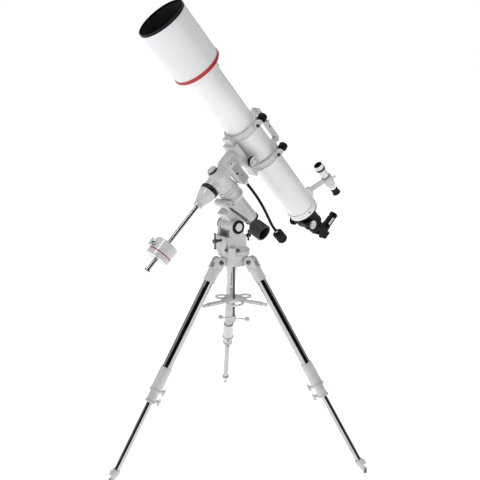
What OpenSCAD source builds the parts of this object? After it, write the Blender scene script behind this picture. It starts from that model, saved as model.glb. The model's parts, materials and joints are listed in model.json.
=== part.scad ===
// Refractor telescope on an equatorial mount with a folding steel tripod.
// Millimetres, +Z up, floor at z = 0, polar axis in the XZ plane and tilted toward -X.

/* [Tripod] */
// Distance from the tripod axis to each foot tip
foot_radius = 540; // [500:5:580]
// Height of the leg hinges above the floor
hinge_height = 756; // [720:2:790]
// Distance from the tripod axis to each leg hinge
hinge_radius = 70; // [68:1:74]
// Turn of the first leg away from the meridian
leg_azimuth = -4; // [-10:1:6]
// Outside diameter of the upper leg tube
upper_tube_d = 36; // [34:1:38]
// Outside diameter of the lower leg tube
lower_tube_d = 23; // [22:1:25]
// Height of the spreader tray above the floor
tray_height = 601; // [585:1:615]
// Diameter of the wide eyepiece hole in the tray
tray_hole_wide = 51.4; // [51:0.1:52]
// Diameter of the two narrow eyepiece holes in the tray
tray_hole_narrow = 32.4; // [32:0.1:33]

/* [Mount] */
// Latitude that the polar axis is set to
latitude = 47; // [44:0.5:49]
// Height of the altitude pivot above the tripod head
pivot_height = 105; // [100:1:112]
// Distance of the polar axis from the altitude pivot
pivot_drop = 83; // [80:1:86]
// Distance of the dec axis from the altitude pivot, along the polar axis
pivot_back = 168; // [164:1:172]
// Radius of the azimuth base disc
base_r = 60.5; // [58:0.5:64]
// Radius of the declination setting circle
circle_r = 34; // [32:0.5:36]
// Diameter of the counterweight shaft
cw_shaft_d = 14; // [12:0.5:16]
// Diameter of the counterweight
cw_d = 88; // [80:1:96]
// Length of the counterweight
cw_len = 65; // [60:1:72]

/* [Optical tube] */
// Outside diameter of the main tube
tube_d = 116; // [114:0.5:118]
// Distance of the optical axis from the polar axis
tube_offset = 200; // [198:1:204]
// Outside diameter of the dew shield
shield_d = 173; // [166:1:180]
// Clear aperture of the objective
aperture = 102; // [98:1:104]
// Front end of the dew shield, measured from the dec axis
shield_front = 554; // [520:2:580]
// Back end of the main tube, measured from the dec axis
tube_back = 410; // [400:2:420]

/* [Focuser] */
// Pitch radius of the focus pinion
pinion_r = 6; // [5:0.5:7]
// Number of pinion teeth
pinion_teeth = 12; // [10:1:14]
// Outside diameter of the draw tube
draw_d = 56; // [54:0.5:57]
// Outside diameter of an eyepiece barrel
barrel_d = 31.2; // [31:0.1:31.5]

/* [Hidden] */
$fn = 48;
// Room between a shaft and its bearing
gap = 0.3;
eps = 0.01;

// Shift that puts the frame's origin under the middle of the whole outline
frame_x = -9.636;
frame_y = 18.834;

leg_tilt = atan2(foot_radius - hinge_radius, hinge_height);
leg_len = (hinge_height) / cos(leg_tilt);
leg_angle = [180 + leg_azimuth, -60 + leg_azimuth, 60 + leg_azimuth];

// Stations down a leg, from its hinge
s_sleeve = 82;
s_collar = 431;
s_flange_a = 521;
s_flange_b = 569;
s_foot = leg_len - 40;
s_inner = 356;
upper_r = upper_tube_d / 2;
lower_r = lower_tube_d / 2;
sleeve_r = upper_r + 4;
cheek_in = 11.4;
cheek_out = 19.4;
cheek_r = 18.5;
hub_r = hinge_radius - 22;
hub_top = hinge_height + 28;
hub_low = hinge_height - 18;
rod_r = 4.5;
rod_low = tray_height - 96;

// Spreader arms stop short of the legs, so the tray can turn between them as the legs fold
leg_radius_at_tray = hinge_radius + (hinge_height - tray_height) * tan(leg_tilt);
arm_reach = leg_radius_at_tray - upper_r / cos(leg_tilt) - 6.5;
lobe_at = 54;

// Mount stack
base_z = hub_top + 0.1;
disc_t = 11;
pivot_x = -15;
pivot_z = hub_top + pivot_height;
ear_in = 29;
ear_out = 44;
ear_r = 26;
fork_foot = 36;
alt_arm = 51;
alt_boss_r = 10;
alt_z = pivot_z - alt_arm;

// Azimuth peg on the tripod head, held between two screws on the base
az_dir = -133;
az_r = base_r + 11.5;
az_z = hub_top + 24;
peg_r = 4;
az_swing = 5.2;
az_slot = peg_r + az_swing + 0.5;
az_block = az_slot + 3;
az_grip = az_block + az_swing + 0.6;

// Crossing of the polar and dec axes
cross_x = pivot_x - pivot_back * cos(latitude) + pivot_drop * sin(latitude);
cross_z = pivot_z + pivot_back * sin(latitude) + pivot_drop * cos(latitude);
drum_r = 38;
ra_top = -48;
ra_low = -222;
ra_axle_r = 15;
dec_r = 30;
barrel_r_dec = 38;
barrel_len = 54;
dec_axle_r = 12;
worm_x = 52;
worm_y = -49;
saddle_x = 97;
dove_x = saddle_x + 19.5;
dove_t = 15;
circle_x = -66;
cone_len = 60;
cw_shaft_end = -421;
cw_mid = -341;
cw_shaft_r = cw_shaft_d / 2;

// Slow-motion shaft of the polar axis: start point and direction in the polar frame
ra_ctl = [-60, -42, -82];
ra_ctl_tilt = 22;
ra_ctl_turn = -10;
ra_ctl_len = 127;

// Hand-chosen route of the flexible dec control, in the polar frame
cable = [[52, -49, -74], [52, -49, -110], [50, -50, -150], [45, -51, -190],
         [37, -52, -230], [29, -52, -265], [24, -52, -292], [23, -52, -316]];
cable_r = 5.5;

// Optical tube
tube_r = tube_d / 2;
tube_wall = 1.6;
shield_r = shield_d / 2;
shield_back = 346;
cell_r = tube_r + 6;
cell_back = 300;
ring_z = [59, -91];
ring_w = 30;
ring_in = tube_r + 0.4;
ring_out = tube_r + 8;
ring_turn = 16;
hinge_y = ring_out + 10;
bolt_y = -(ring_out + 15);
handle_x = ring_out + 19;
shoe_z = 30 - tube_back;
finder_x = tube_r + 117;
finder_front = shoe_z + 44;
finder_back = shoe_z - 127;
finder_r = 17;
finder_ring = shoe_z - 40;

// Focuser
focus_z = -tube_back - 40;
body_back = -tube_back - 86;
draw_r = draw_d / 2;
rack_pitch_r = draw_r + 3;
pinion_x = -(rack_pitch_r + pinion_r);
tooth_module = 2 * pinion_r / pinion_teeth;
tooth_pitch = PI * tooth_module;
tooth_half = 0.16 * tooth_pitch;
tooth_top = 0.6 * tooth_module;
tooth_root = 0.8 * tooth_module;
draw_back = -tube_back - 112;
diag_z = draw_back - 44;
barrel_r = barrel_d / 2;

// Frames
module placed() {
  translate([frame_x, frame_y, 0]) children();
}
module leg(i) {
  placed() rotate([0, 0, leg_angle[i]]) translate([hinge_radius, 0, hinge_height])
    rotate([0, -leg_tilt, 0]) children();
}
module polar() {
  placed() translate([cross_x, 0, cross_z]) rotate([0, latitude - 90, 0]) children();
}
module optics() {
  polar() translate([tube_offset, 0, 0]) children();
}

// Cylinders by end stations along each axis
module zcyl(r, z0, z1) {
  translate([0, 0, min(z0, z1)]) cylinder(r = r, h = abs(z1 - z0));
}
module xcyl(r, x0, x1) {
  translate([min(x0, x1), 0, 0]) rotate([0, 90, 0]) cylinder(r = r, h = abs(x1 - x0));
}
module ycyl(r, y0, y1) {
  translate([0, min(y0, y1), 0]) rotate([-90, 0, 0]) cylinder(r = r, h = abs(y1 - y0));
}
module zcone(r0, r1, z0, z1) {
  translate([0, 0, z0]) cylinder(r1 = r0, r2 = r1, h = z1 - z0);
}
// Flat outline in the XZ plane, drawn out along Y
module yprism(points, y0, y1) {
  translate([0, y1, 0]) rotate([90, 0, 0]) linear_extrude(height = y1 - y0) polygon(points);
}
// Box by its two corners
module box(a, b) {
  translate(a) cube(b - a);
}
// Tube along Z
module pipe(r, bore, z0, z1) {
  difference() {
    zcyl(r, z0, z1);
    zcyl(bore, min(z0, z1) - 1, max(z0, z1) + 1);
  }
}
// Two flat wings on a short shank, along +Z from the origin
module thumb_screw(shank_r, head_r, span) {
  zcyl(head_r, 0, 7);
  box([-span, -1.6, 6], [span, 1.6, 16]);
}
// Round knob with grip flutes, along +Z from the origin
module fluted_knob(r, h, flutes) {
  difference() {
    zcyl(r, 0, h);
    for (k = [0 : flutes - 1]) {
      rotate([0, 0, k * 360 / flutes]) translate([r + 0.8, 0, -1]) cylinder(r = 2.2, h = h + 2, $fn = 24);
    }
  }
}

// Tripod
module hub_lug() {
  difference() {
    union() {
      ycyl(15, -cheek_in + 0.4, cheek_in - 0.4);
      box([-30, -cheek_in + 0.4, -15], [0, cheek_in - 0.4, 15]);
    }
    ycyl(5, -20, 20);
  }
}
module tripod_hub() {
  color("white") placed() {
    difference() {
      union() {
        zcyl(hub_r, hub_low, hub_top - 7);
        zcyl(base_r, hub_top - 7, hub_top);
      }
      zcyl(rod_r, hub_low - 1, hub_low + 12);
    }
    rotate([0, 0, az_dir]) {
      box([hub_r - 15, -7, hub_top - 6], [az_r + 6, 7, hub_top - 0.5]);
      translate([az_r, 0, 0]) zcyl(peg_r, hub_top - 3, az_z + 4);
    }
    for (a = leg_angle) {
      rotate([0, 0, a]) translate([hinge_radius, 0, hinge_height]) hub_lug();
    }
  }
}
module hub_bolts() {
  color("dimgray") placed() for (a = leg_angle) {
    rotate([0, 0, a]) translate([hinge_radius, 0, hinge_height]) {
      ycyl(5, -cheek_out - 0.5, cheek_out + 0.5);
      for (s = [-1, 1]) {
        difference() {
          ycyl(8, s * (cheek_out + 0.5), s * (cheek_out + 6));
          ycyl(3, s * (cheek_out + 3), s * (cheek_out + 8));
        }
      }
    }
  }
}
module center_rod() {
  color("dimgray") placed() zcyl(rod_r, rod_low, hub_low + 12);
}
module spreader_tray() {
  holes = [tray_hole_wide, tray_hole_narrow, tray_hole_narrow];
  color("white") placed() translate([0, 0, tray_height]) rotate([0, 0, leg_azimuth]) {
    difference() {
      union() {
        zcyl(50, -4, 0);
        zcyl(14, -17, -3);
        for (k = [0 : 2]) {
          rotate([0, 0, -120 + 120 * k]) {
            translate([lobe_at, 0, 0]) zcyl(holes[k] / 2 + 8, -5, 1);
          }
          rotate([0, 0, 60 + 120 * k]) {
            box([6, -10, -10], [arm_reach - 22, 10, -1]);
            box([arm_reach - 30, -5, -12], [arm_reach, 5, -2]);
          }
        }
      }
      zcyl(rod_r + gap, -30, 10);
      for (k = [0 : 2]) {
        rotate([0, 0, -120 + 120 * k]) translate([lobe_at, 0, 0]) zcyl(holes[k] / 2, -30, 10);
      }
    }
  }
}
module tray_handle() {
  color("white") placed() translate([0, 0, rod_low]) {
    difference() {
      union() {
        zcyl(9, 4, 24);
        translate([0, 0, 14]) rotate([0, 0, -50]) xcyl(3, -44, 44);
      }
      zcyl(rod_r + gap, -10, 40);
    }
    rotate([0, 0, -50]) for (s = [-1, 1]) {
      translate([s * 52, 0, 14]) rotate([0, 0, 90]) sphere(r = 10);
    }
  }
}

module leg_bracket(i) {
  color("white") leg(i) difference() {
    union() {
      zcyl(sleeve_r, -s_sleeve, -28);
      for (s = [-1, 1]) {
        box([-cheek_r, min(s * cheek_in, s * cheek_out), -34],
            [cheek_r, max(s * cheek_in, s * cheek_out), 0]);
        ycyl(cheek_r, s * cheek_in, s * cheek_out);
      }
    }
    zcyl(upper_r, -s_sleeve - 1, -40);
    ycyl(5 + gap, -40, 40);
  }
}
module leg_tube(i) {
  color("silver") leg(i) pipe(upper_r, upper_r - 2, -s_flange_a, -40);
}
module leg_collar(i) {
  flange_r = sleeve_r + 3;
  color("white") leg(i) {
    difference() {
      union() {
        zcyl(sleeve_r, -s_flange_a, -s_collar);
        zcyl(flange_r, -s_flange_a - 5, -s_flange_a + 3);
        zcyl(upper_r, -s_flange_b + 4, -s_flange_a);
        zcyl(upper_r + 3, -s_flange_b, -s_flange_b + 7);
        for (s = [s_flange_a + 1, s_flange_b - 8]) {
          translate([0, 0, -s]) xcyl(7, -sleeve_r - 6, 0);
        }
      }
      zcyl(upper_r, -s_flange_a, -s_collar + 1);
      zcyl(lower_r + gap, -s_flange_b - 1, -s_flange_a + 1);
    }
    for (s = [s_flange_a + 1, s_flange_b - 8]) {
      translate([-sleeve_r - 6, 0, -s]) rotate([0, -90, 0]) thumb_screw(3, 5, 13);
    }
  }
}
module leg_lower_tube(i) {
  color("silver") leg(i) pipe(lower_r, lower_r - 1.6, -s_foot, -s_inner);
}
module leg_foot(i) {
  tip = leg_len - 12 / cos(leg_tilt);
  color("white") leg(i) {
    zcone(8, lower_r + 4, -tip, -s_foot);
    pipe(lower_r + 4, lower_r, -s_foot, -s_foot + 14);
    box([lower_r + 3.5, -2, -s_foot - 10], [lower_r + 12, 2, -s_foot + 10]);
    translate([0, 0, -leg_len]) rotate([0, leg_tilt, 0]) zcyl(6, 0, 20);
  }
}
module leg_1_bracket() { leg_bracket(0); }
module leg_2_bracket() { leg_bracket(1); }
module leg_3_bracket() { leg_bracket(2); }
module leg_1_tube() { leg_tube(0); }
module leg_2_tube() { leg_tube(1); }
module leg_3_tube() { leg_tube(2); }
module leg_1_collar() { leg_collar(0); }
module leg_2_collar() { leg_collar(1); }
module leg_3_collar() { leg_collar(2); }
module leg_1_lower_tube() { leg_lower_tube(0); }
module leg_2_lower_tube() { leg_lower_tube(1); }
module leg_3_lower_tube() { leg_lower_tube(2); }
module leg_1_foot() { leg_foot(0); }
module leg_2_foot() { leg_foot(1); }
module leg_3_foot() { leg_foot(2); }

// Azimuth base with its fork
module azimuth_base() {
  color("white") placed() difference() {
    union() {
      zcyl(base_r, base_z, base_z + disc_t);
      zcone(base_r - 3, 47, base_z + disc_t, base_z + disc_t + 16);
      for (s = [-1, 1]) {
        translate([pivot_x, 0, pivot_z]) ycyl(ear_r, s * ear_in, s * ear_out);
        yprism([[pivot_x - ear_r, pivot_z], [pivot_x + ear_r, pivot_z],
                [pivot_x + fork_foot, base_z + disc_t + 2], [pivot_x - fork_foot, base_z + disc_t + 2]],
               min(s * ear_in, s * ear_out), max(s * ear_in, s * ear_out));
      }
      for (x = [pivot_x - 45, pivot_x + 34]) {
        box([x, -ear_in - eps, base_z + 8], [x + 11, ear_in + eps, alt_z + 14]);
      }
      for (x = [pivot_x - 38.5, pivot_x + 20]) {
        for (s = [-1, 1]) {
          box([x, min(s * (ear_in - 4), s * ear_out), base_z + 8],
              [x + 20, max(s * (ear_in - 4), s * ear_out), alt_z + 14]);
        }
      }
      rotate([0, 0, az_dir]) box([30, -az_block, base_z], [az_r + 8, az_block, az_z + 8]);
    }
    translate([pivot_x, 0, pivot_z]) ycyl(8, -60, 60);
    translate([0, 0, alt_z]) xcyl(5 + gap, -100, 100);
    rotate([0, 0, az_dir]) translate([az_r, 0, 0]) {
      translate([0, 0, az_z]) ycyl(3 + gap, -20, 20);
      box([-peg_r - 1, -az_slot, base_z - 1], [peg_r + 1, az_slot, az_z + 5]);
    }
  }
}
module azimuth_knobs() {
  color("silver") placed() rotate([0, 0, az_dir]) translate([az_r, 0, az_z]) for (s = [-1, 1]) {
    ycyl(3, s * (peg_r + 0.4), s * (az_grip + 1));
    translate([0, s * az_grip, 0]) rotate([-90 * s, 0, 0]) {
      fluted_knob(7, 7, 12);
      zcyl(5, 7, 9);
    }
  }
}
module altitude_caps() {
  color("black") placed() translate([pivot_x, 0, pivot_z]) {
    ycyl(8, -ear_out, ear_out);
    for (s = [-1, 1]) {
      difference() {
        ycyl(ear_r - 0.5, s * ear_out, s * (ear_out + 6));
        ycyl(ear_r - 6, s * (ear_out + 4), s * (ear_out + 8));
      }
      ycyl(15, s * (ear_out + 3), s * (ear_out + 7));
    }
  }
}
module altitude_bolt(side, tip, grip, half) {
  color("black") placed() translate([0, 0, alt_z]) {
    xcyl(5, tip, grip);
    xcyl(8, grip, grip + side * 14);
    translate([grip + side * 7, 0, 0]) zcyl(3.5, -half, half);
    for (s = [-1, 1]) {
      translate([grip + side * 7, 0, s * half]) sphere(r = 4.5);
    }
  }
}
module altitude_bolt_north() { altitude_bolt(-1, pivot_x - alt_boss_r - 0.5, pivot_x - 66, 27); }
module altitude_bolt_south() { altitude_bolt(1, pivot_x + alt_boss_r + 0.5, pivot_x + 79, 17); }

// Polar axis housing
module at_pivot() {
  translate([-pivot_drop, 0, -pivot_back]) children();
}
module at_ra_control() {
  translate(ra_ctl) rotate([0, 0, ra_ctl_turn]) rotate([90 + ra_ctl_tilt, 0, 0]) children();
}
module ra_housing() {
  color("white") polar() difference() {
    union() {
      zcyl(drum_r, ra_top - 52, ra_top);
      zcyl(drum_r + 2, ra_top - 24, ra_top - 12);
      zcyl(drum_r + 2, ra_top - 52, ra_top - 44);
      zcone(27, drum_r, ra_top - 68, ra_top - 52);
      zcyl(27, ra_low, ra_top - 60);
      box([-pivot_drop, -26, -pivot_back - 22], [-8, 26, ra_top - 56]);
      at_pivot() ycyl(ear_r, -ear_in + 0.6, ear_in - 0.6);
      at_pivot() rotate([0, 90 - latitude, 0]) {
        box([-9, -13, -alt_arm], [9, 13, 0]);
        translate([0, 0, -alt_arm]) ycyl(alt_boss_r, -13, 13);
      }
      translate([-50, 0, -82]) ycyl(15, -34, 34);
      at_ra_control() zcyl(11, -26, 8);
    }
    zcyl(ra_axle_r + gap, ra_low - 1, ra_top + 1);
    pipe(drum_r + 3, drum_r - 1.2, ra_top - 35, ra_top - 33.4);
    at_pivot() ycyl(8 + gap, -60, 60);
    at_ra_control() zcyl(4 + gap, -20, 20);
  }
}
module ra_end_cap() {
  color("black") polar() {
    difference() {
      zcyl(29, ra_low - 8, ra_low);
      zcyl(20, ra_low - 9, ra_low - 4);
    }
    zcyl(15, ra_low - 14, ra_low - 4);
  }
}
module ra_control_shaft() {
  color("silver") polar() at_ra_control() {
    zcyl(4, -18, ra_ctl_len);
    for (k = [0 : 15]) {
      zcyl(5.2, 14 + 5.4 * k, 17 + 5.4 * k);
    }
  }
}
module ra_knob() {
  color("dimgray") polar() at_ra_control() translate([0, 0, ra_ctl_len]) difference() {
    union() {
      zcyl(10, -8, 4);
      zcone(18, 29, 0, 10);
      translate([0, 0, 10]) fluted_knob(29.5, 46, 20);
    }
    zcyl(24, 14, 60);
    zcyl(4, -10, 0);
  }
}

// Declination housing, which turns about the polar axis
module dec_housing() {
  color("white") polar() difference() {
    union() {
      xcyl(dec_r, circle_x + 18, saddle_x - 1);
      zcyl(drum_r - 2, ra_top + 0.6, 16);
      zcone(drum_r - 2, 21, 16, 38);
      zcyl(17, 37, 40);
      zcyl(ra_axle_r, ra_low + 8, ra_top + 2);
      xcyl(barrel_r_dec, saddle_x - barrel_len, saddle_x - 1);
      translate([saddle_x - barrel_len - 7, 0, 0]) rotate([0, 90, 0]) zcone(dec_r, barrel_r_dec, 0, 7);
      box([worm_x - 17, worm_y - 13, -60], [worm_x + 17, -20, 22]);
      translate([worm_x, worm_y, 0]) zcyl(11, 22, 28);
      translate([worm_x, worm_y, 0]) zcyl(9, -74, -60);
    }
    xcyl(dec_axle_r + gap, -100, 100);
    translate([saddle_x - 16, 0, 0]) rotate([0, 90, 0]) pipe(barrel_r_dec + 1, barrel_r_dec - 1.2, 0, 1.6);
    zcyl(9, ra_low, -24);
    translate([worm_x, worm_y - 13, -30]) ycyl(3, -1, 4);
    translate([worm_x - 10, worm_y - 13, 8]) ycyl(2.2, -1, 4);
  }
}
module polar_cap() {
  color("white") polar() difference() {
    zcyl(18, 40, 48);
    pipe(16, 11, 46.5, 50);
  }
}
// Points of a round hose around a route that runs mainly along -Z
function ring_points(c, r, sides) = [
  for (k = [0 : sides - 1]) c + r * [cos(k * 360 / sides), sin(k * 360 / sides), 0]];
function midpoint(a, b) = (a + b) / 2;
module hose(route, r, sides) {
  last = len(route) - 1;
  points = [for (c = route) each ring_points(c, r, sides)];
  walls = [for (i = [0 : last - 1]) for (k = [0 : sides - 1])
    each [[i * sides + k, (i + 1) * sides + k, (i + 1) * sides + (k + 1) % sides],
          [i * sides + k, (i + 1) * sides + (k + 1) % sides, i * sides + (k + 1) % sides]]];
  start = [[for (k = [0 : sides - 1]) k]];
  finish = [[for (k = [sides - 1 : -1 : 0]) last * sides + k]];
  polyhedron(points = points, faces = concat(walls, start, finish));
}
module dec_cable() {
  color("black") polar() hose(cable, cable_r, 16);
}
module dec_knob() {
  tip = cable[len(cable) - 1];
  color("black") polar() translate([tip[0], tip[1], tip[2] - 0.3]) rotate([180, 0, 0]) {
    zcyl(cable_r + 2, 0, 14);
    translate([0, 0, 14]) fluted_knob(20, 40, 16);
    zcone(20, 16, 54, 60);
  }
}

// Declination axis: everything here turns with the optical tube
module dec_axle() {
  color("silver") polar() xcyl(dec_axle_r, circle_x, saddle_x);
}
module dec_circle() {
  color("black") polar() difference() {
    xcyl(circle_r, circle_x, circle_x + 13);
    xcyl(dec_axle_r, circle_x - 1, circle_x + 20);
    for (k = [0 : 35]) {
      rotate([k * 10, 0, 0]) box([circle_x + 6, -0.4, circle_r - 0.5], [circle_x + 14, 0.4, circle_r + 1]);
    }
  }
}
module shaft_cone() {
  color("white") polar() difference() {
    union() {
      translate([circle_x, 0, 0]) rotate([0, -90, 0]) {
        zcone(32, 29, 0, 22);
        zcone(29, 15, 22, cone_len);
      }
      xcyl(17, circle_x - cone_len, circle_x - cone_len - 8);
    }
    xcyl(cw_shaft_r, circle_x - cone_len - 20, circle_x - 20);
  }
}
module cw_shaft() {
  color("silver") polar() {
    xcyl(cw_shaft_r, cw_shaft_end, circle_x - 20);
    xcyl(cw_shaft_r + 4, cw_shaft_end - 6, cw_shaft_end);
  }
}
module counterweight() {
  color("white") polar() translate([cw_mid, 0, 0]) difference() {
    union() {
      xcyl(cw_d / 2, -cw_len / 2 + 3, cw_len / 2 - 3);
      xcyl(cw_d / 2 - 3, -cw_len / 2, cw_len / 2);
    }
    xcyl(cw_shaft_r + gap, -60, 60);
    zcyl(4 + gap, 0, cw_d / 2 + 1);
    difference() {
      xcyl(cw_d, -15, -11);
      xcyl(cw_d / 2 - 0.8, -16, -10);
    }
  }
}
module cw_screw() {
  color("silver") polar() translate([cw_mid, 0, 0]) {
    zcyl(4, cw_shaft_r + 0.6, cw_d / 2 + 6);
    translate([0, 0, cw_d / 2 + 4]) thumb_screw(4, 7, 14);
  }
}
module dove(extra) {
  half_low = 22 + extra;
  half_top = 17 + extra;
  linear_extrude(height = 400, center = true)
    polygon([[-extra, -half_low], [-extra, half_low], [dove_t + 1, half_top], [dove_t + 1, -half_top]]);
}
module saddle() {
  color("white") polar() difference() {
    union() {
      xcyl(36, saddle_x, saddle_x + 9);
      box([saddle_x + 8, -34, -50], [dove_x + 10, 34, 50]);
    }
    translate([dove_x, 0, 0]) dove(0.5);
    translate([dove_x + 7, 0, -38]) ycyl(4 + gap, -50, 0);
  }
}
module saddle_knob() {
  color("white") polar() translate([dove_x + 7, 0, -38]) {
    ycyl(4, -22, -45);
    ycyl(9, -36, -46);
    translate([0, -46, 0]) rotate([90, 0, 0]) {
      difference() {
        fluted_knob(21, 15, 5);
        pipe(17, 7, 11, 16);
      }
      box([-17, -1.6, 10], [17, 1.6, 15]);
      box([-1.6, -17, 10], [1.6, 17, 15]);
    }
  }
}

// Cradle of the optical tube
module dovetail_bar() {
  color("white") polar() intersection() {
    translate([dove_x, 0, 0]) dove(0);
    box([dove_x - 1, -40, ring_z[1] - 22], [dove_x + dove_t, 40, ring_z[0] + 20]);
  }
}
module ring_body(z) {
  pipe(ring_out, ring_in, z - ring_w / 2, z + ring_w / 2);
  for (s = [-1, 1]) {
    pipe(ring_out + 2.3, ring_in, z + s * 12 - 2, z + s * 12 + 2);
  }
}
module lower_side(z) {
  rotate([0, 0, ring_turn]) box([-200, -200, z - 50], [-0.4, 200, z + 50]);
}
module upper_side(z) {
  rotate([0, 0, ring_turn]) box([0.4, -200, z - 50], [200, 200, z + 50]);
}
module ring_bases() {
  color("white") for (z = ring_z) {
    optics() {
      intersection() {
        ring_body(z);
        lower_side(z);
      }
      difference() {
        box([dove_x + dove_t - tube_offset, -19, z - 13], [-ring_in + 8, 19, z + 13]);
        zcyl(ring_in, z - 50, z + 50);
      }
      rotate([0, 0, ring_turn]) {
        difference() {
          union() {
            box([-9, bolt_y, z - 11], [-0.4, -ring_in - 3, z + 11]);
            translate([0, bolt_y, z]) xcyl(11, -9, -0.4);
          }
          translate([0, bolt_y, z]) xcyl(3 + gap + 0.4, -30, 10);
        }
        translate([0, hinge_y, 0]) zcyl(5, z - 6, z + 6);
        translate([0, hinge_y, 0]) zcyl(2.5, z - 15, z + 15);
        box([-8, ring_out - 4, z - 6], [-3, hinge_y, z + 6]);
        for (a = [110, 130, 150, 190, 210, 230, 250]) {
          rotate([0, 0, a]) box([ring_out - 1, -1.5, z - 11], [ring_out + 2, 1.5, z + 11]);
        }
      }
    }
  }
}
module ring_caps() {
  color("white") for (z = ring_z) {
    optics() {
      intersection() {
        ring_body(z);
        upper_side(z);
      }
      rotate([0, 0, ring_turn]) {
        difference() {
          union() {
            box([0.4, bolt_y, z - 11], [9, -ring_in - 3, z + 11]);
            translate([0, bolt_y, z]) xcyl(11, 0.4, 9);
          }
          translate([0, bolt_y, z]) xcyl(3 + gap + 0.4, -10, 30);
        }
        for (s = [-1, 1]) {
          difference() {
            union() {
              translate([0, hinge_y, 0]) zcyl(5, z + s * 6.5, z + s * 15);
              box([3, ring_out - 4, min(z + s * 6.5, z + s * 15)], [8, hinge_y, max(z + s * 6.5, z + s * 15)]);
            }
            translate([0, hinge_y, 0]) zcyl(2.5 + gap, z - 20, z + 20);
          }
        }
      }
      box([ring_out - 3, -9, z - 9], [handle_x, 9, z + 9]);
    }
  }
}
module carry_handle() {
  color("white") optics() {
    yprism([[handle_x, ring_z[1] - 13], [handle_x, ring_z[0] + 13],
            [handle_x + 13, ring_z[0] - 1], [handle_x + 13, ring_z[1] + 1]], -12, 12);
    translate([0, 0, -16]) {
      xcyl(9, handle_x + 12, handle_x + 15);
      xcyl(3.175, handle_x + 14, handle_x + 25);
    }
  }
}
module ring_knob(z) {
  color("black") optics() rotate([0, 0, ring_turn]) translate([0, bolt_y, z]) {
    xcyl(3, -10, 10);
    xcyl(5, 9.4, 23);
    translate([22, 0, 0]) rotate([0, 90, 0]) fluted_knob(16.5, 17, 12);
  }
}
module ring_knob_front() { ring_knob(ring_z[0]); }
module ring_knob_rear() { ring_knob(ring_z[1]); }

// Optical tube
module main_tube() {
  color("white") optics() {
    pipe(tube_r, tube_r - tube_wall, -tube_back, cell_back + 8);
    pipe(tube_r + 3, tube_r - eps, -tube_back, -tube_back + 24);
    pipe(tube_r + 3.5, tube_r - eps, -tube_back + 8, -tube_back + 14);
    difference() {
      box([tube_r - 1, -15, shoe_z - 20], [tube_r + 13, 15, shoe_z + 20]);
      zcyl(tube_r - tube_wall / 2, shoe_z - 40, shoe_z + 40);
      box([tube_r + 4, -10, shoe_z - 30], [tube_r + 9, 10, shoe_z + 30]);
      box([tube_r + 4, -6.5, shoe_z - 30], [tube_r + 20, 6.5, shoe_z + 30]);
    }
    for (z = [220, 60, -100]) {
      pipe(tube_r - tube_wall, aperture / 2 - 2, z, z + 2);
    }
  }
}
module lens_cell() {
  color("white") optics() difference() {
    union() {
      zcyl(cell_r, cell_back + 8, shield_back + 14);
      zcyl(cell_r - 4, cell_back, cell_back + 8);
    }
    zcyl(tube_r, cell_back - 1, cell_back + 8);
    zcyl(aperture / 2 - 1, cell_back, shield_back + 40);
    zcyl(aperture / 2 + 1, cell_back + 34, shield_back + 40);
  }
}
module objective_lens() {
  color("lightblue") optics() intersection() {
    zcyl(aperture / 2 + 1, cell_back + 34, cell_back + 60);
    translate([0, 0, cell_back + 54 - 320]) sphere(r = 320, $fn = 96);
  }
}
module dew_shield() {
  color("white") optics() difference() {
    zcyl(shield_r, shield_back + 8, shield_front - 8);
    zcyl(shield_r - 2.2, shield_back + 14, shield_front);
    zcyl(cell_r, shield_back, shield_back + 20);
  }
}
module dew_band() {
  color("red") optics() difference() {
    union() {
      zcyl(shield_r + 2.5, shield_back, shield_back + 8);
      zcyl(shield_r - 3, shield_back - 6, shield_back);
    }
    zcyl(cell_r, shield_back - 10, shield_back + 20);
  }
}
module dew_rim() {
  color("black") optics() difference() {
    zcyl(shield_r + 0.8, shield_front - 8, shield_front);
    zcyl(shield_r - 2.2, shield_front - 10, shield_front + 1);
  }
}

// Rack and pinion focuser
module focuser_body() {
  color("black") optics() difference() {
    union() {
      zcyl(tube_r + 1, -tube_back - 7, -tube_back);
      zcone(draw_r + 9, tube_r - 3, -tube_back - 28, -tube_back - 7);
      zcyl(draw_r + 9, body_back, -tube_back - 20);
      zcyl(draw_r + 11, body_back, body_back + 8);
      box([pinion_x - 11, -18, focus_z - 17], [0, 18, focus_z + 17]);
      translate([pinion_x, 0, focus_z]) ycyl(11, -34, 34);
    }
    zcyl(draw_r + gap, body_back - 1, -tube_back + 1);
    box([-rack_pitch_r - 2, -7.5, body_back - 1], [0, 7.5, -tube_back + 1]);
    translate([pinion_x, 0, focus_z]) ycyl(pinion_r + 1.6, -7.5, 7.5);
    translate([pinion_x, 0, focus_z]) ycyl(4 + gap, -50, 50);
  }
}
module draw_tube() {
  rack_front = -tube_back + 34;
  teeth = floor((rack_front - (body_back - 8)) / tooth_pitch);
  color("silver") optics() {
    pipe(draw_r, draw_r - 2, draw_back + 8, rack_front);
    difference() {
      box([-rack_pitch_r + tooth_root, -7, body_back - 8], [-draw_r + 1, 7, rack_front]);
      zcyl(draw_r - 1, -900, 0);
    }
    for (k = [-floor(teeth / 2) : floor(teeth / 2) - 1]) {
      z = focus_z + (k + 0.5) * tooth_pitch;
      if (z > body_back - 7 && z < rack_front - 1) {
        box([-rack_pitch_r - tooth_top, -6.5, z - tooth_half],
            [-rack_pitch_r + tooth_root + 0.2, 6.5, z + tooth_half]);
      }
    }
    difference() {
      zcyl(draw_r + 3, draw_back, draw_back + 16);
      zcyl(barrel_r + 0.35, draw_back - 1, draw_back + 20);
    }
    translate([0, 0, draw_back + 8]) ycyl(3.5, -draw_r - 11, -draw_r - 2);
  }
}
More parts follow.
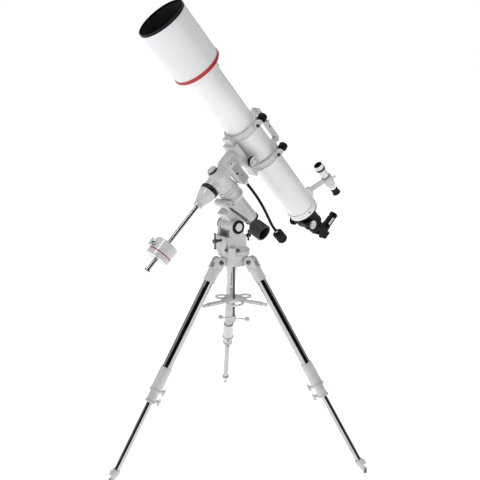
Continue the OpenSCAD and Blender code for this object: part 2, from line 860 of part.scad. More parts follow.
module focus_knobs() {
  color("black") optics() translate([pinion_x, 0, focus_z]) {
    ycyl(4, -60, 60);
    ycyl(pinion_r - tooth_root, -6.5, 6.5);
    for (k = [0 : pinion_teeth - 1]) {
      rotate([0, k * 360 / pinion_teeth, 0])
        box([pinion_r - tooth_root - 0.8, -6, -tooth_half], [pinion_r + tooth_top, 6, tooth_half]);
    }
    for (s = [-1, 1]) {
      translate([0, s * 44, 0]) rotate([-90 * s, 0, 0]) {
        fluted_knob(18, 16, 24);
        zcyl(13, 16, 18);
        zcyl(10, -6, 0);
      }
    }
  }
}
module star_diagonal() {
  color("black") optics() difference() {
    union() {
      zcyl(barrel_r, draw_back + 22, diag_z + 25);
      zcyl(20, draw_back - 4, diag_z + 25);
      box([-21, -20, diag_z - 24], [24, 20, diag_z + 26]);
      translate([0, 0, diag_z]) xcyl(19, 20, 46);
    }
    translate([0, 0, diag_z]) xcyl(barrel_r + 0.35, 16, 60);
    zcyl(barrel_r - 1.5, diag_z + 20, draw_back + 30);
    translate([-21, 0, diag_z - 24]) rotate([0, 45, 0]) box([-30, -30, -40], [9, 30, 40]);
    translate([38, -19, diag_z]) ycyl(2.2, -4, 3);
  }
}
module eyepiece() {
  color("black") optics() translate([0, 0, diag_z]) {
    xcyl(barrel_r, 20, 47);
    xcyl(17, 46.4, 82);
    xcyl(15.5, 80, 96);
    difference() {
      xcyl(17.5, 93, 105);
      xcyl(11, 99, 107);
    }
  }
}

// Finder on its bracket, sliding in a shoe on the tube
module finder_bracket() {
  color("white") optics() {
    box([tube_r + 4.4, -9.6, shoe_z - 18], [tube_r + 8.6, 9.6, shoe_z + 18]);
    box([tube_r + 8, -6, shoe_z - 18], [tube_r + 24, 6, shoe_z + 18]);
    difference() {
      translate([tube_r + 20, 0, shoe_z]) rotate([0, 112, 0]) box([-9, -5.2, -4], [9, 5.2, 98]);
      translate([finder_x, 0, 0]) {
        zcyl(finder_r, finder_back, finder_front);
        zcyl(finder_r + 1.8, finder_ring + 15.6, finder_ring + 19.4);
      }
    }
    translate([finder_x, 0, 0]) {
      difference() {
        union() {
          zcyl(finder_r + 5, finder_ring - 11, finder_ring + 11);
          zcone(finder_r + 1.5, finder_r + 5, finder_ring - 34, finder_ring - 11);
        }
        zcyl(finder_r, finder_back, finder_front);
      }
      for (a = [60, -60]) {
        rotate([0, 0, a]) translate([0, 0, finder_ring]) {
          xcyl(2.5, finder_r + 4, finder_r + 14);
          xcyl(4.5, finder_r + 12, finder_r + 20);
        }
      }
    }
  }
}
module finder_scope() {
  color("white") optics() translate([finder_x, 0, 0]) difference() {
    union() {
      zcyl(finder_r + 2.5, finder_front - 16, finder_front);
      zcyl(finder_r + 3.2, finder_front - 23, finder_front - 16);
      zcyl(finder_r, finder_back + 49, finder_front - 23);
      zcyl(finder_r + 1.4, finder_ring + 16, finder_ring + 19);
      zcone(12, finder_r, finder_back + 29, finder_back + 49);
      zcyl(12, finder_back + 23, finder_back + 31);
      zcyl(14.5, finder_back + 12, finder_back + 25);
      zcone(17.5, 14.5, finder_back, finder_back + 12);
    }
    zcyl(finder_r, finder_front - 16, finder_front + 1);
    zcyl(9, finder_back - 1, finder_back + 5);
  }
}

tripod_hub();
hub_bolts();
center_rod();
spreader_tray();
tray_handle();
leg_1_bracket();
leg_1_tube();
leg_1_collar();
leg_1_lower_tube();
leg_1_foot();
leg_2_bracket();
leg_2_tube();
leg_2_collar();
leg_2_lower_tube();
leg_2_foot();
leg_3_bracket();
leg_3_tube();
leg_3_collar();
leg_3_lower_tube();
leg_3_foot();
azimuth_base();
azimuth_knobs();
altitude_caps();
altitude_bolt_north();
altitude_bolt_south();
ra_housing();
ra_end_cap();
ra_control_shaft();
ra_knob();
dec_housing();
polar_cap();
dec_cable();
dec_knob();
dec_axle();
dec_circle();
shaft_cone();
cw_shaft();
counterweight();
cw_screw();
saddle();
saddle_knob();
dovetail_bar();
ring_bases();
ring_caps();
carry_handle();
ring_knob_front();
ring_knob_rear();
main_tube();
lens_cell();
objective_lens();
dew_shield();
dew_band();
dew_rim();
focuser_body();
draw_tube();
focus_knobs();
star_diagonal();
eyepiece();
finder_bracket();
finder_scope();
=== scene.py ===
import json
import math

import bpy
from mathutils import Matrix, Vector


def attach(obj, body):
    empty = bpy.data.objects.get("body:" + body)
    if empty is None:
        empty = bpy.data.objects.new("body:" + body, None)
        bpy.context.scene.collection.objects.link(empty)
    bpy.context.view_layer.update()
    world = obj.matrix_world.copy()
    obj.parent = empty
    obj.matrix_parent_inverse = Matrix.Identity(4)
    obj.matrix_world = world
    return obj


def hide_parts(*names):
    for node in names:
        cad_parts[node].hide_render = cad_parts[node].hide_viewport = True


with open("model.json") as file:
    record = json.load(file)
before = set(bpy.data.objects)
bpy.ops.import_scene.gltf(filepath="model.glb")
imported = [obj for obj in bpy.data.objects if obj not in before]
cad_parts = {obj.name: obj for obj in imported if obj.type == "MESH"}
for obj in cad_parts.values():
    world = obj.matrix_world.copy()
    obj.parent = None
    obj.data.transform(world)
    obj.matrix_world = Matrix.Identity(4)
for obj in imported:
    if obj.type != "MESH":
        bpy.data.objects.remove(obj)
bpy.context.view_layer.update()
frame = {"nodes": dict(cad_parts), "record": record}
nodes = frame["nodes"]
record = frame["record"]
scene = bpy.context.scene

# Places of the part, from the joints in its record, the latitude it is set to and a few distances in mm
MM = 0.001
LATITUDE = math.radians(47)
PIVOT_BACK = 168
PIVOT_DROP = 83
TUBE_X = 200
FINDER_X = 175
EYEPIECE_Z = -566
WEIGHT_X = -341
JOINTS = {joint["name"]: joint for joint in record["behaviour"]["joints"]}
BODY_OF = {node: body for body, held in record["behaviour"]["bodies"].items() for node in held}


def spot(joint):
    return Vector(JOINTS[joint]["pos_m"])


def axis(joint):
    return Vector(JOINTS[joint]["axis"])


def space(origin, x, z):
    """Frame at a point, from its x and z axes."""
    matrix = Matrix((x, z.cross(x), z)).transposed().to_4x4()
    matrix.translation = origin
    return matrix


def moved(place, x=0, y=0, z=0):
    """The same frame, moved along its own axes by a step in mm."""
    return place @ Matrix.Translation(Vector((x, y, z)) * MM)


def facing(place, point, normal):
    """Frame on a surface, from a point in mm and the outward normal, both in the given frame."""
    turn = Vector(normal).to_track_quat("Z", "Y").to_matrix().to_4x4()
    return moved(place, *point) @ turn


WORLD = Matrix.Identity(4)
TRIPOD = Vector((*spot("azimuth_turn").xy, 0))
POLAR_AXIS = Vector((-math.cos(LATITUDE), 0, math.sin(LATITUDE)))
DEC_AXIS = Vector((math.sin(LATITUDE), 0, math.cos(LATITUDE)))
CROSSING = spot("altitude_tilt") + (POLAR_AXIS * PIVOT_BACK + DEC_AXIS * PIVOT_DROP) * MM
POLAR = space(CROSSING, DEC_AXIS, POLAR_AXIS)
OPTICS = moved(POLAR, x=TUBE_X)
PIVOT = Matrix.Translation(spot("altitude_tilt"))
FOCUS = space(spot("focus_knob_turn"), DEC_AXIS, POLAR_AXIS)
FINDER = moved(OPTICS, x=FINDER_X)
EYEPIECE = moved(OPTICS, z=EYEPIECE_Z)
WEIGHT = moved(POLAR, x=WEIGHT_X)
SADDLE_KNOB = space(spot("saddle_knob_turn"), DEC_AXIS, POLAR_AXIS)
DEC_KNOB = space(spot("dec_knob_turn"), DEC_AXIS, POLAR_AXIS)
RA_SHAFT = facing(Matrix.Translation(spot("ra_knob_turn")), (0, 0, 0), axis("ra_knob_turn"))

# Camera at the photo's angle, its place measured from the tripod's axis in metres
CAMERA_PLACE = Vector((-1.531, -1.934, 1.4175))
CAMERA_DIP = 13.58
SENSOR_WIDTH = 36
LENS = 50.63
LENS_SHIFT = (0.0129, 0.0044)

cam_data = bpy.data.cameras.new("camera")
cam = bpy.data.objects.new("camera", cam_data)
scene.collection.objects.link(cam)
cam_data.sensor_width = SENSOR_WIDTH
cam_data.lens = LENS
cam_data.shift_x, cam_data.shift_y = LENS_SHIFT
cam.location = TRIPOD + CAMERA_PLACE
heading = math.atan2(-CAMERA_PLACE.x, -CAMERA_PLACE.y)
cam.rotation_euler = (math.radians(90 - CAMERA_DIP), 0, -heading)
scene.camera = cam


# Materials
def shader(name):
    material = bpy.data.materials.new(name)
    material.use_nodes = True
    return material, material.node_tree, material.node_tree.nodes["Principled BSDF"]


def link(tree, a, b):
    tree.links.new(a, b)


def add(tree, kind, **values):
    """A new node, with values for its sockets or settings."""
    node = tree.nodes.new(kind)
    for name, value in values.items():
        if name in node.inputs:
            node.inputs[name].default_value = value
        else:
            setattr(node, name, value)
    return node


def noise(tree, coord, scale, detail=3.0):
    node = add(tree, "ShaderNodeTexNoise", Scale=scale, Detail=detail)
    link(tree, coord, node.inputs["Vector"])
    return node.outputs["Fac"]


def ranged(tree, value, low, high, start=0.35, end=0.65):
    """A value between start and end, spread from low to high."""
    limits = {"From Min": start, "From Max": end, "To Min": low, "To Max": high}
    node = add(tree, "ShaderNodeMapRange", **limits)
    link(tree, value, node.inputs["Value"])
    return node.outputs["Result"]


def cloudy(tree, coord, scale, dark, light):
    """A colour that drifts softly from dark to light."""
    node = add(tree, "ShaderNodeMix", data_type="RGBA", A=(*dark, 1), B=(*light, 1))
    link(tree, ranged(tree, noise(tree, coord, scale), 0, 1), node.inputs["Factor"])
    return next(socket for socket in node.outputs if socket.type == "RGBA")


def surface(name, dark, light, rough, metal=0.0, coat=0.0, grain=900, bump=0.04, cloud=14, edge=0.6,
            specular=0.5):
    """A finish with cloudy tone, uneven gloss, a fine grain and edges rounded by a radius in mm."""
    material, tree, bsdf = shader(name)
    coord = add(tree, "ShaderNodeTexCoord").outputs["Object"]
    link(tree, cloudy(tree, coord, cloud, dark, light), bsdf.inputs["Base Color"])
    link(tree, ranged(tree, noise(tree, coord, cloud * 4, 5), *rough), bsdf.inputs["Roughness"])
    bsdf.inputs["Metallic"].default_value = metal
    bsdf.inputs["Coat Weight"].default_value = coat
    bsdf.inputs["Coat Roughness"].default_value = 0.08
    bsdf.inputs["Specular IOR Level"].default_value = specular
    soft_edge = add(tree, "ShaderNodeBevel", samples=4, Radius=edge * MM)
    grainy = add(tree, "ShaderNodeBump", Strength=bump, Distance=0.5 * MM)
    link(tree, noise(tree, coord, grain, 2), grainy.inputs["Height"])
    link(tree, soft_edge.outputs["Normal"], grainy.inputs["Normal"])
    link(tree, grainy.outputs["Normal"], bsdf.inputs["Normal"])
    return material


WHITE_CAST = surface("white_cast", (0.61, 0.62, 0.63), (0.68, 0.69, 0.70), (0.24, 0.36), coat=0.35,
                     grain=700, bump=0.10, edge=1.5)
GRAY_CAST = surface("gray_cast", (0.32, 0.33, 0.34), (0.38, 0.39, 0.40), (0.3, 0.42), coat=0.2,
                    grain=700, bump=0.10, edge=1.2)
WHITE_TUBE = surface("white_tube", (0.82, 0.83, 0.85), (0.87, 0.88, 0.90), (0.16, 0.24), coat=0.5,
                     grain=500, bump=0.025, cloud=6)
# Darker copy of the tube's white, used on the dew shield as painted shade
SHADED_SHIELD_WHITE = surface("shield_white_painted_shade", (0.72, 0.73, 0.75), (0.77, 0.78, 0.80), (0.16, 0.24), coat=0.5,
                       grain=500, bump=0.025, cloud=6)
WHITE_IRON = surface("white_iron", (0.63, 0.64, 0.65), (0.70, 0.71, 0.72), (0.2, 0.3), coat=0.4,
                     grain=400, bump=0.08)
CHROME = surface("polished_steel", (0.42, 0.425, 0.44), (0.50, 0.505, 0.52), (0.06, 0.13), metal=1.0,
                 grain=1500, bump=0.02)
# Darker copy of the polished steel: painted dark reflection for the counterweight shaft
SHAFT_STEEL_PAINTED_DARK = surface("shaft_steel_painted_dark_reflection", (0.22, 0.225, 0.235), (0.28, 0.285, 0.295), (0.08, 0.16), metal=1.0,
                      grain=1500, bump=0.03)
DARK_STEEL = surface("dark_steel", (0.07, 0.07, 0.075), (0.14, 0.14, 0.145), (0.28, 0.42), metal=1.0,
                     grain=1200, bump=0.05)
# Black plastic, also used on the saddle knob's side as painted shade
BLACK_PLASTIC_AND_SHADE = surface("black_plastic", (0.004, 0.004, 0.005), (0.009, 0.009, 0.010), (0.34, 0.5),
                        grain=1400, bump=0.12, specular=0.16)
GRAY_PLASTIC = surface("gray_plastic", (0.022, 0.022, 0.024), (0.040, 0.040, 0.043), (0.4, 0.55),
                       grain=1300, bump=0.15, specular=0.3)
BLACK_METAL = surface("black_metal", (0.004, 0.004, 0.005), (0.010, 0.010, 0.011), (0.22, 0.36),
                      grain=1600, bump=0.05, specular=0.12)
RED_METAL = surface("red_metal", (0.38, 0.006, 0.008), (0.52, 0.010, 0.012), (0.35, 0.45), bump=0.03)
DARK_RED = surface("dark_red_metal", (0.045, 0.004, 0.006), (0.075, 0.006, 0.008), (0.3, 0.4), bump=0.03)
MATT_BLACK = surface("matt_black", (0.014, 0.014, 0.014), (0.026, 0.026, 0.027), (0.55, 0.7),
                     grain=1200, bump=0.15, specular=0.35)
RUBBER = surface("black_rubber", (0.004, 0.004, 0.004), (0.009, 0.009, 0.010), (0.4, 0.6),
                 grain=1500, bump=0.15, specular=0.15)
SILVER = surface("satin_alloy", (0.55, 0.55, 0.56), (0.68, 0.68, 0.69), (0.25, 0.38), metal=0.9, grain=1200)
# White ink for print, and on the eyepiece a painted highlight
INK_AND_HIGHLIGHT = surface("white_ink_and_painted_highlight", (0.72, 0.72, 0.70), (0.82, 0.82, 0.80), (0.5, 0.6), grain=1200, bump=0.05)


def lens_glass():
    material, tree, bsdf = shader("lens_glass")
    coord = add(tree, "ShaderNodeTexCoord").outputs["Object"]
    link(tree, cloudy(tree, coord, 20, (0.62, 0.78, 0.86), (0.78, 0.84, 0.92)), bsdf.inputs["Base Color"])
    link(tree, ranged(tree, noise(tree, coord, 60), 0.01, 0.04), bsdf.inputs["Roughness"])
    bsdf.inputs["Transmission Weight"].default_value = 0.9
    bsdf.inputs["IOR"].default_value = 1.52
    return material


BY_SLOT = {"white_cast": WHITE_CAST, "white_tube": WHITE_TUBE, "white_iron": WHITE_IRON,
           "polished_steel": CHROME, "dark_steel": DARK_STEEL, "black_plastic": BLACK_PLASTIC_AND_SHADE,
           "gray_plastic": GRAY_PLASTIC, "black_metal": BLACK_METAL, "red_metal": RED_METAL,
           "lens_glass": lens_glass(), "black_rubber": RUBBER}
for part in record["subparts"]:
    mesh = nodes[part["node"]].data
    mesh.materials.clear()
    mesh.materials.append(BY_SLOT[part["material_slot"]])


# Second finishes, for faces that differ from the rest of their node, and painted shade and a painted
# highlight on a few nodes
def paint(node, finish, test, place=OPTICS):
    """Gives a finish to the faces of a node for which test(point in mm, normal) holds in a frame; some
    calls lay painted shade or a painted highlight with it.
    """
    mesh = nodes[node].data
    mesh.materials.append(finish)
    back = place.inverted()
    turn = back.to_3x3()
    for face in mesh.polygons:
        if test(back @ face.center / MM, turn @ face.normal):
            face.material_index = len(mesh.materials) - 1


def everywhere(p, n):
    return True


def from_x(p):
    """Distance from the x axis."""
    return math.hypot(p.y, p.z)


def from_y(p):
    """Distance from the y axis."""
    return math.hypot(p.x, p.z)


def from_z(p):
    """Distance from the z axis."""
    return math.hypot(p.x, p.y)


def inward(p, n):
    """Faces that look toward the z axis, as in a bore."""
    return n.x * p.x + n.y * p.y < -BORE_SLOPE * from_z(p)


def between(value, limits):
    return limits[0] < value < limits[1]


# Parts of a unit normal along an axis: above END a face crosses that axis, below it the face goes along it
END = 0.5
BORE_SLOPE = 0.3
SADDLE_SHADE_SLOPE = 0.6

# Limits of those faces, in mm, each a little off the edge that it follows
SHIELD_LIP_R = 84
TUBE_BORE_R = 57.5
CIRCLE_MARK_R = (33, 33.9)
WEIGHT_BAND_X = (-15.5, -10.5)
WEIGHT_BAND_R = 40
ALTITUDE_CAP_Y = 46.5
ALTITUDE_DISC_R = 15.5
POLAR_CAP_R = 17
# Side of the saddle knob below its white face, painted black as shade
SADDLE_SHADE_Y = -5.5
SADDLE_SHADE_R = 17.4
FOCUS_FACE_Y = 59.6
FOCUS_SHAFT_R = 8
FINDER_EYE_Z = -477
FINDER_LOCK_Z = (-404.5, -400.5)
FINDER_LOCK_R = 17.3
FINDER_BAND_Z = (-359.3, -351.7)
FINDER_BAND_R = 17.6
FINDER_MOUTH_Z = -352.5
FINDER_MOUTH_R = 16.9
RA_SLEEVE_R = 4.5
DRAW_END_Z = -496.5
# The next four limits place a white stripe along one side of the eyepiece's barrel: a painted highlight
EYEPIECE_HIGHLIGHT_X = (47, 81.5)
EYEPIECE_HIGHLIGHT_R = 16
EYEPIECE_HIGHLIGHT_SIDE = Vector((0, -0.97, 0.26))
EYEPIECE_HIGHLIGHT_SPREAD = 0.965
DEC_KNOB_NECK_Z = 9.9
CLAMP_SCREW_X = -28.3
FOOT_TIP_Z = -878.5
WORM_BOX_X = 52
WORM_BOX_HALF = 17.5
WORM_BOX_Y = -61.5

# Painted shade: the whole dew shield in a darker copy of the tube's white
paint("dew_shield", SHADED_SHIELD_WHITE, everywhere)
paint("dew_shield", MATT_BLACK, lambda p, n: inward(p, n) or n.z > END and from_z(p) < SHIELD_LIP_R)
paint("lens_cell", MATT_BLACK, lambda p, n: inward(p, n) or n.z > END)
paint("main_tube", MATT_BLACK, lambda p, n: inward(p, n) and from_z(p) < TUBE_BORE_R)
paint("dec_circle", GRAY_CAST, lambda p, n: abs(n.x) < END and between(from_x(p), CIRCLE_MARK_R), POLAR)
paint("counterweight", RED_METAL,
      lambda p, n: between(p.x, WEIGHT_BAND_X) and from_x(p) > WEIGHT_BAND_R, WEIGHT)
# Painted dark reflection: the counterweight shaft in a darker copy of the polished steel
paint("cw_shaft", SHAFT_STEEL_PAINTED_DARK, everywhere)
paint("altitude_caps", INK_AND_HIGHLIGHT, lambda p, n: abs(p.y) > ALTITUDE_CAP_Y and from_y(p) < ALTITUDE_DISC_R, PIVOT)
paint("polar_cap", BLACK_PLASTIC_AND_SHADE, lambda p, n: from_z(p) > POLAR_CAP_R and abs(n.z) < END, POLAR)
# Painted shade: the side of the saddle knob under its white face in black
paint("saddle_knob", BLACK_PLASTIC_AND_SHADE,
      lambda p, n: p.y < SADDLE_SHADE_Y and from_y(p) > SADDLE_SHADE_R and abs(n.y) < SADDLE_SHADE_SLOPE, SADDLE_KNOB)
paint("focus_knobs", SILVER, lambda p, n: abs(p.y) > FOCUS_FACE_Y and abs(n.y) > END, FOCUS)
paint("focus_knobs", CHROME, lambda p, n: from_y(p) < FOCUS_SHAFT_R, FOCUS)
paint("finder_scope", BLACK_PLASTIC_AND_SHADE,
      lambda p, n: p.z < FINDER_EYE_Z or between(p.z, FINDER_LOCK_Z) and from_z(p) > FINDER_LOCK_R, FINDER)
paint("finder_scope", DARK_RED,
      lambda p, n: between(p.z, FINDER_BAND_Z) and from_z(p) > FINDER_BAND_R, FINDER)
paint("finder_scope", MATT_BLACK,
      lambda p, n: p.z > FINDER_MOUTH_Z and (inward(p, n) or n.z > END and from_z(p) < FINDER_MOUTH_R),
      FINDER)
paint("ra_control_shaft", DARK_STEEL, lambda p, n: from_z(p) > RA_SLEEVE_R, RA_SHAFT)
paint("draw_tube", BLACK_METAL, lambda p, n: p.z < DRAW_END_Z)
# Painted highlight: a white stripe along one side of the eyepiece's barrel
paint("eyepiece", INK_AND_HIGHLIGHT,
      lambda p, n: between(p.x, EYEPIECE_HIGHLIGHT_X) and n.dot(EYEPIECE_HIGHLIGHT_SIDE) > EYEPIECE_HIGHLIGHT_SPREAD and from_x(p) > EYEPIECE_HIGHLIGHT_R,
      EYEPIECE)
paint("dec_knob", CHROME, lambda p, n: p.z > DEC_KNOB_NECK_Z, DEC_KNOB)
for leg in (1, 2, 3):
    up_leg = axis(f"leg_{leg}_extend")
    along_leg = space(spot(f"leg_{leg}_fold"), axis(f"leg_{leg}_fold").cross(up_leg), up_leg)
    paint(f"leg_{leg}_collar", CHROME, lambda p, n: p.x < CLAMP_SCREW_X, along_leg)
    paint(f"leg_{leg}_foot", DARK_STEEL, lambda p, n: p.z < FOOT_TIP_Z, along_leg)
paint("dec_housing", GRAY_CAST,
      lambda p, n: p.y < WORM_BOX_Y and abs(p.x - WORM_BOX_X) < WORM_BOX_HALF, POLAR)
paint("azimuth_knobs", DARK_STEEL, lambda p, n: abs(n.dot(axis("azimuth_screw_slide"))) < END, WORLD)


# Small pieces that the solids leave out
def new_piece(name, node, slot, points, faces, finish=None):
    """A mesh that rides with the body of a node."""
    mesh = bpy.data.meshes.new(name)
    mesh.from_pydata(points, [], faces)
    mesh.materials.append(finish or BY_SLOT[slot])
    piece = bpy.data.objects.new(name, mesh)
    scene.collection.objects.link(piece)
    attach(piece, BODY_OF[node])


def turned(rings, sides=24):
    """Points and faces of a turned form from (radius, height, flats) rings in mm; no flats is round."""
    points, faces = [], []
    for radius, height, flats in rings:
        for k in range(sides):
            angle = math.tau * k / sides
            step = math.tau / flats if flats else 0
            reach = radius / math.cos(angle % step - step / 2) if flats else radius
            points.append(Vector((reach * math.cos(angle), reach * math.sin(angle), height)) * MM)
    for i in range(len(rings) - 1):
        for k in range(sides):
            a = i * sides + k
            b = i * sides + (k + 1) % sides
            faces.append((a, b, b + sides, a + sides))
    faces.append(tuple(reversed(range(sides))))
    faces.append(tuple(range(len(points) - sides, len(points))))
    return points, faces


def turned_piece(name, node, slot, forms, finish=None):
    """One piece made of turned forms, each with its place."""
    points, faces = [], []
    for rings, place in forms:
        shape, skin = turned(rings)
        faces += [tuple(i + len(points) for i in face) for face in skin]
        points += [place @ p for p in shape]
    new_piece(name, node, slot, points, faces, finish)


def socket_head(radius, height):
    """Rings of a screw head with a rounded rim and a hexagon socket."""
    rim = 0.5
    socket = radius * 0.5
    return [(radius, -rim, 0), (radius, height - rim, 0), (radius - rim, height, 0),
            (socket, height, 6), (socket, height * 0.3, 6)]


NUT_ON_STUD = [(6.2, 0, 6), (6.2, 5, 6), (5.4, 5.8, 6), (3.2, 5.8, 0), (3.2, 9.5, 0), (2.4, 10.3, 0)]
THUMB_SCREW = [(2.4, -1, 0), (2.4, 4, 0), (4.4, 4.4, 12), (4.8, 5.2, 12), (4.8, 9, 12), (4, 10, 12)]
FINDER_RING = [(18.6, -363.5, 0), (20.0, -362.8, 0), (20.0, -358.8, 0)]
RING_KNOBS = ("ring_knob_front_turn", "ring_knob_rear_turn")
RING_FLANGE_T = 9
REAR_CELL_R = 61
REAR_CELL_Z = -398
REAR_SCREW_TURNS = (-16, -106, 164)
HANDLE_SCREW_X = 90
HANDLE_SCREW_Y = -12
HANDLE_SCREW_Z = (-2, -28)
WORM_FACE_Y = -62
WORM_SUNK_Y = WORM_FACE_Y + 1.5
WORM_AXIS_Y = -49
WORM_TOP_Z = 28
FOCUS_LOCK = (-48, 0, -442)


def on_rear_cell(turn):
    """Frame on the rear cell, at an angle round the tube from its near side."""
    out = Vector((math.sin(math.radians(turn)), -math.cos(math.radians(turn)), 0))
    return facing(OPTICS, out * REAR_CELL_R + Vector((0, 0, REAR_CELL_Z)), out)


def under_flange(knob):
    """Frame below a ring's flange, in line with the screw of its knob."""
    flange = space(spot(knob), axis(knob), POLAR_AXIS)
    return facing(flange, (-RING_FLANGE_T, 0, 0), (-1, 0, 0))


turned_piece("ring_bolt_nuts", "ring_bases", "dark_steel",
             [(NUT_ON_STUD, under_flange(knob)) for knob in RING_KNOBS])
turned_piece("rear_cell_screws", "main_tube", "black_metal",
             [(socket_head(3.2, 2.4), on_rear_cell(turn)) for turn in REAR_SCREW_TURNS])
turned_piece("handle_screws", "carry_handle", "dark_steel",
             [(socket_head(3, 1.6), facing(OPTICS, (HANDLE_SCREW_X, HANDLE_SCREW_Y, z), (0, -1, 0)))
              for z in HANDLE_SCREW_Z])
turned_piece("worm_box_screws", "dec_housing", "black_metal",
             [(socket_head(4, 1.8), facing(POLAR, (WORM_BOX_X - 12, WORM_FACE_Y, -8), (0, -1, 0))),
              (socket_head(2.8, 1.2), facing(POLAR, (WORM_BOX_X, WORM_SUNK_Y, -30), (0, -1, 0))),
              (socket_head(2, 1.2), facing(POLAR, (WORM_BOX_X - 10, WORM_SUNK_Y, 8), (0, -1, 0))),
              (socket_head(3.4, 1.4), facing(POLAR, (WORM_BOX_X, WORM_AXIS_Y, WORM_TOP_Z), (0, 0, 1)))])

# Wedge that points at the declination circle
POINTER_TURN = math.radians(-60)
POINTER_X = (-47.5, -38)
POINTER_HALF = 4
POINTER_R = (29.6, 31.6)
pointer_out = Vector((0, -math.cos(POINTER_TURN), math.sin(POINTER_TURN)))
pointer_side = Vector((0, math.sin(POINTER_TURN), math.cos(POINTER_TURN)))
tip, tail = (Vector((x, 0, 0)) for x in POINTER_X)
outline = [tip, tail + pointer_side * POINTER_HALF, tail - pointer_side * POINTER_HALF]
new_piece("dec_pointer", "dec_housing", "black_metal",
          [POLAR @ ((p + pointer_out * radius) * MM) for radius in POINTER_R for p in outline],
          [(0, 2, 1), (3, 4, 5), (0, 1, 4, 3), (1, 2, 5, 4), (2, 0, 3, 5)])

turned_piece("focus_lock_screw", "focuser_body", "dark_steel",
             [(THUMB_SCREW, facing(OPTICS, FOCUS_LOCK, (-1, 0, 0)))])
turned_piece("finder_band", "finder_scope", "red_metal", [(FINDER_RING, FINDER)], DARK_RED)

# Flexible control of the declination axis, its route in the polar frame in mm
route = [(52, -49, -74), (52, -49, -110), (50, -50, -150), (45, -51, -190),
         (37, -52, -230), (29, -52, -265), (24, -52, -292), (23, -52, -316)]
CORD_D = 11
CORD_STEPS = 3


def smooth(points, steps):
    """A smooth line through the points, with some steps between each two."""
    line = []
    for i in range(len(points) - 1):
        a, b, c, d = points[max(i - 1, 0)], points[i], points[i + 1], points[min(i + 2, len(points) - 1)]
        for step in range(steps):
            t = step / steps
            line.append(0.5 * ((2 * b) + (c - a) * t + (2 * a - 5 * b + 4 * c - d) * t * t
                               + (3 * b - a - 3 * c + d) * t ** 3))
    return line + [points[-1]]


line = [POLAR @ (p * MM) for p in smooth([Vector(p) for p in route], CORD_STEPS)]
curve = bpy.data.curves.new("dec_flex_shaft", "CURVE")
curve.dimensions = "3D"
curve.bevel_depth = CORD_D / 2 * MM
curve.bevel_resolution = 4
curve.use_fill_caps = True
spline = curve.splines.new("POLY")
spline.points.add(len(line) - 1)
for knot, point in zip(spline.points, line):
    knot.co = (*point, 1)
flex = bpy.data.objects.new("dec_flex_shaft", curve)
scene.collection.objects.link(flex)
curve.materials.append(RUBBER)
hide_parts("dec_cable")
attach(flex, "dec_body")


# Pale floor, in metres
WHITE = (1, 1, 1, 1)
FLOOR_HALF = 80
FLOOR_DROP = 0.001


def floor_finish():
    material, tree, bsdf = shader("floor")
    coord = add(tree, "ShaderNodeTexCoord").outputs["Object"]
    link(tree, cloudy(tree, coord, 3, (0.90, 0.90, 0.90), (0.92, 0.92, 0.92)), bsdf.inputs["Base Color"])
    bsdf.inputs["Roughness"].default_value = 0.9
    bsdf.inputs["Emission Color"].default_value = WHITE
    bsdf.inputs["Emission Strength"].default_value = 0.74
    return material


floor_mesh = bpy.data.meshes.new("floor")
floor_mesh.from_pydata([(-FLOOR_HALF, -FLOOR_HALF, 0), (FLOOR_HALF, -FLOOR_HALF, 0),
                        (FLOOR_HALF, FLOOR_HALF, 0), (-FLOOR_HALF, FLOOR_HALF, 0)], [], [(0, 1, 2, 3)])
floor_mesh.materials.append(floor_finish())
floor = bpy.data.objects.new("floor", floor_mesh)
floor.location.z = -FLOOR_DROP
scene.collection.objects.link(floor)

# Studio: white behind the part, light that grows with height, and a dark side that the steel mirrors
GLOW = (0.16, 0.60)
GLOW_HEIGHTS = (-0.05, 0.6)
DARK_SIDE = Vector((-0.50, -0.80, 0.22)).normalized()
DARK_SIDE_GLOW = (1.0, 0.02)
DARK_SIDE_EDGE = (0.25, 0.55)

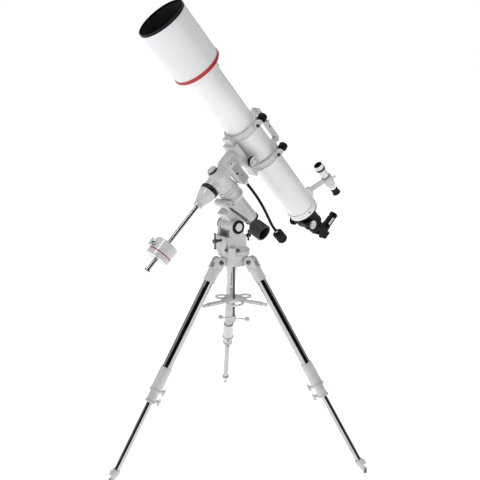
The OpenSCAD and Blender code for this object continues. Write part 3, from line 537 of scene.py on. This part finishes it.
world = bpy.data.worlds.new("studio")
scene.world = world
world.use_nodes = True
studio = world.node_tree
studio.nodes.clear()
output = add(studio, "ShaderNodeOutputWorld")
seen = add(studio, "ShaderNodeBackground", Color=WHITE, Strength=1.0)
felt = add(studio, "ShaderNodeBackground", Color=WHITE)
ray = add(studio, "ShaderNodeLightPath")
swap = add(studio, "ShaderNodeMixShader")
direction = add(studio, "ShaderNodeTexCoord").outputs["Generated"]
split = add(studio, "ShaderNodeSeparateXYZ")
link(studio, direction, split.inputs["Vector"])
height_glow = ranged(studio, split.outputs["Z"], *GLOW, *GLOW_HEIGHTS)
toward = add(studio, "ShaderNodeVectorMath", operation="DOT_PRODUCT")
link(studio, direction, toward.inputs[0])
toward.inputs[1].default_value = DARK_SIDE
side_glow = ranged(studio, toward.outputs["Value"], *DARK_SIDE_GLOW, *DARK_SIDE_EDGE)
glow = add(studio, "ShaderNodeMath", operation="MULTIPLY")
link(studio, height_glow, glow.inputs[0])
link(studio, side_glow, glow.inputs[1])
link(studio, glow.outputs["Value"], felt.inputs["Strength"])
link(studio, ray.outputs["Is Camera Ray"], swap.inputs["Fac"])
link(studio, felt.outputs["Background"], swap.inputs[1])
link(studio, seen.outputs["Background"], swap.inputs[2])
link(studio, swap.outputs["Shader"], output.inputs["Surface"])


def area(name, place, target, size, power, mirrored=True):
    """A soft light in metres and watts, which steel mirrors only where asked."""
    data = bpy.data.lights.new(name, "AREA")
    data.shape = "RECTANGLE"
    data.size, data.size_y = size
    data.energy = power
    light = bpy.data.objects.new(name, data)
    light.location = place
    light.visible_glossy = mirrored
    light.rotation_euler = (Vector(target) - Vector(place)).to_track_quat("-Z", "Y").to_euler()
    scene.collection.objects.link(light)


MOUNT = (0, 0, 0.9)
HUB = (0, 0, 0.8)
area("key", place=(-1.7, -0.5, 3.8), target=MOUNT, size=(0.9, 1.4), power=34)
area("fill", place=(0.9, -3.2, 1.9), target=MOUNT, size=(0.6, 1.8), power=11, mirrored=False)
area("side", place=(-3.2, -0.4, 1.9), target=MOUNT, size=(0.8, 1.8), power=8, mirrored=False)
area("top", place=(0.2, 0.6, 3.4), target=HUB, size=(2.4, 2.4), power=10)
scene.view_settings.view_transform = "Standard"
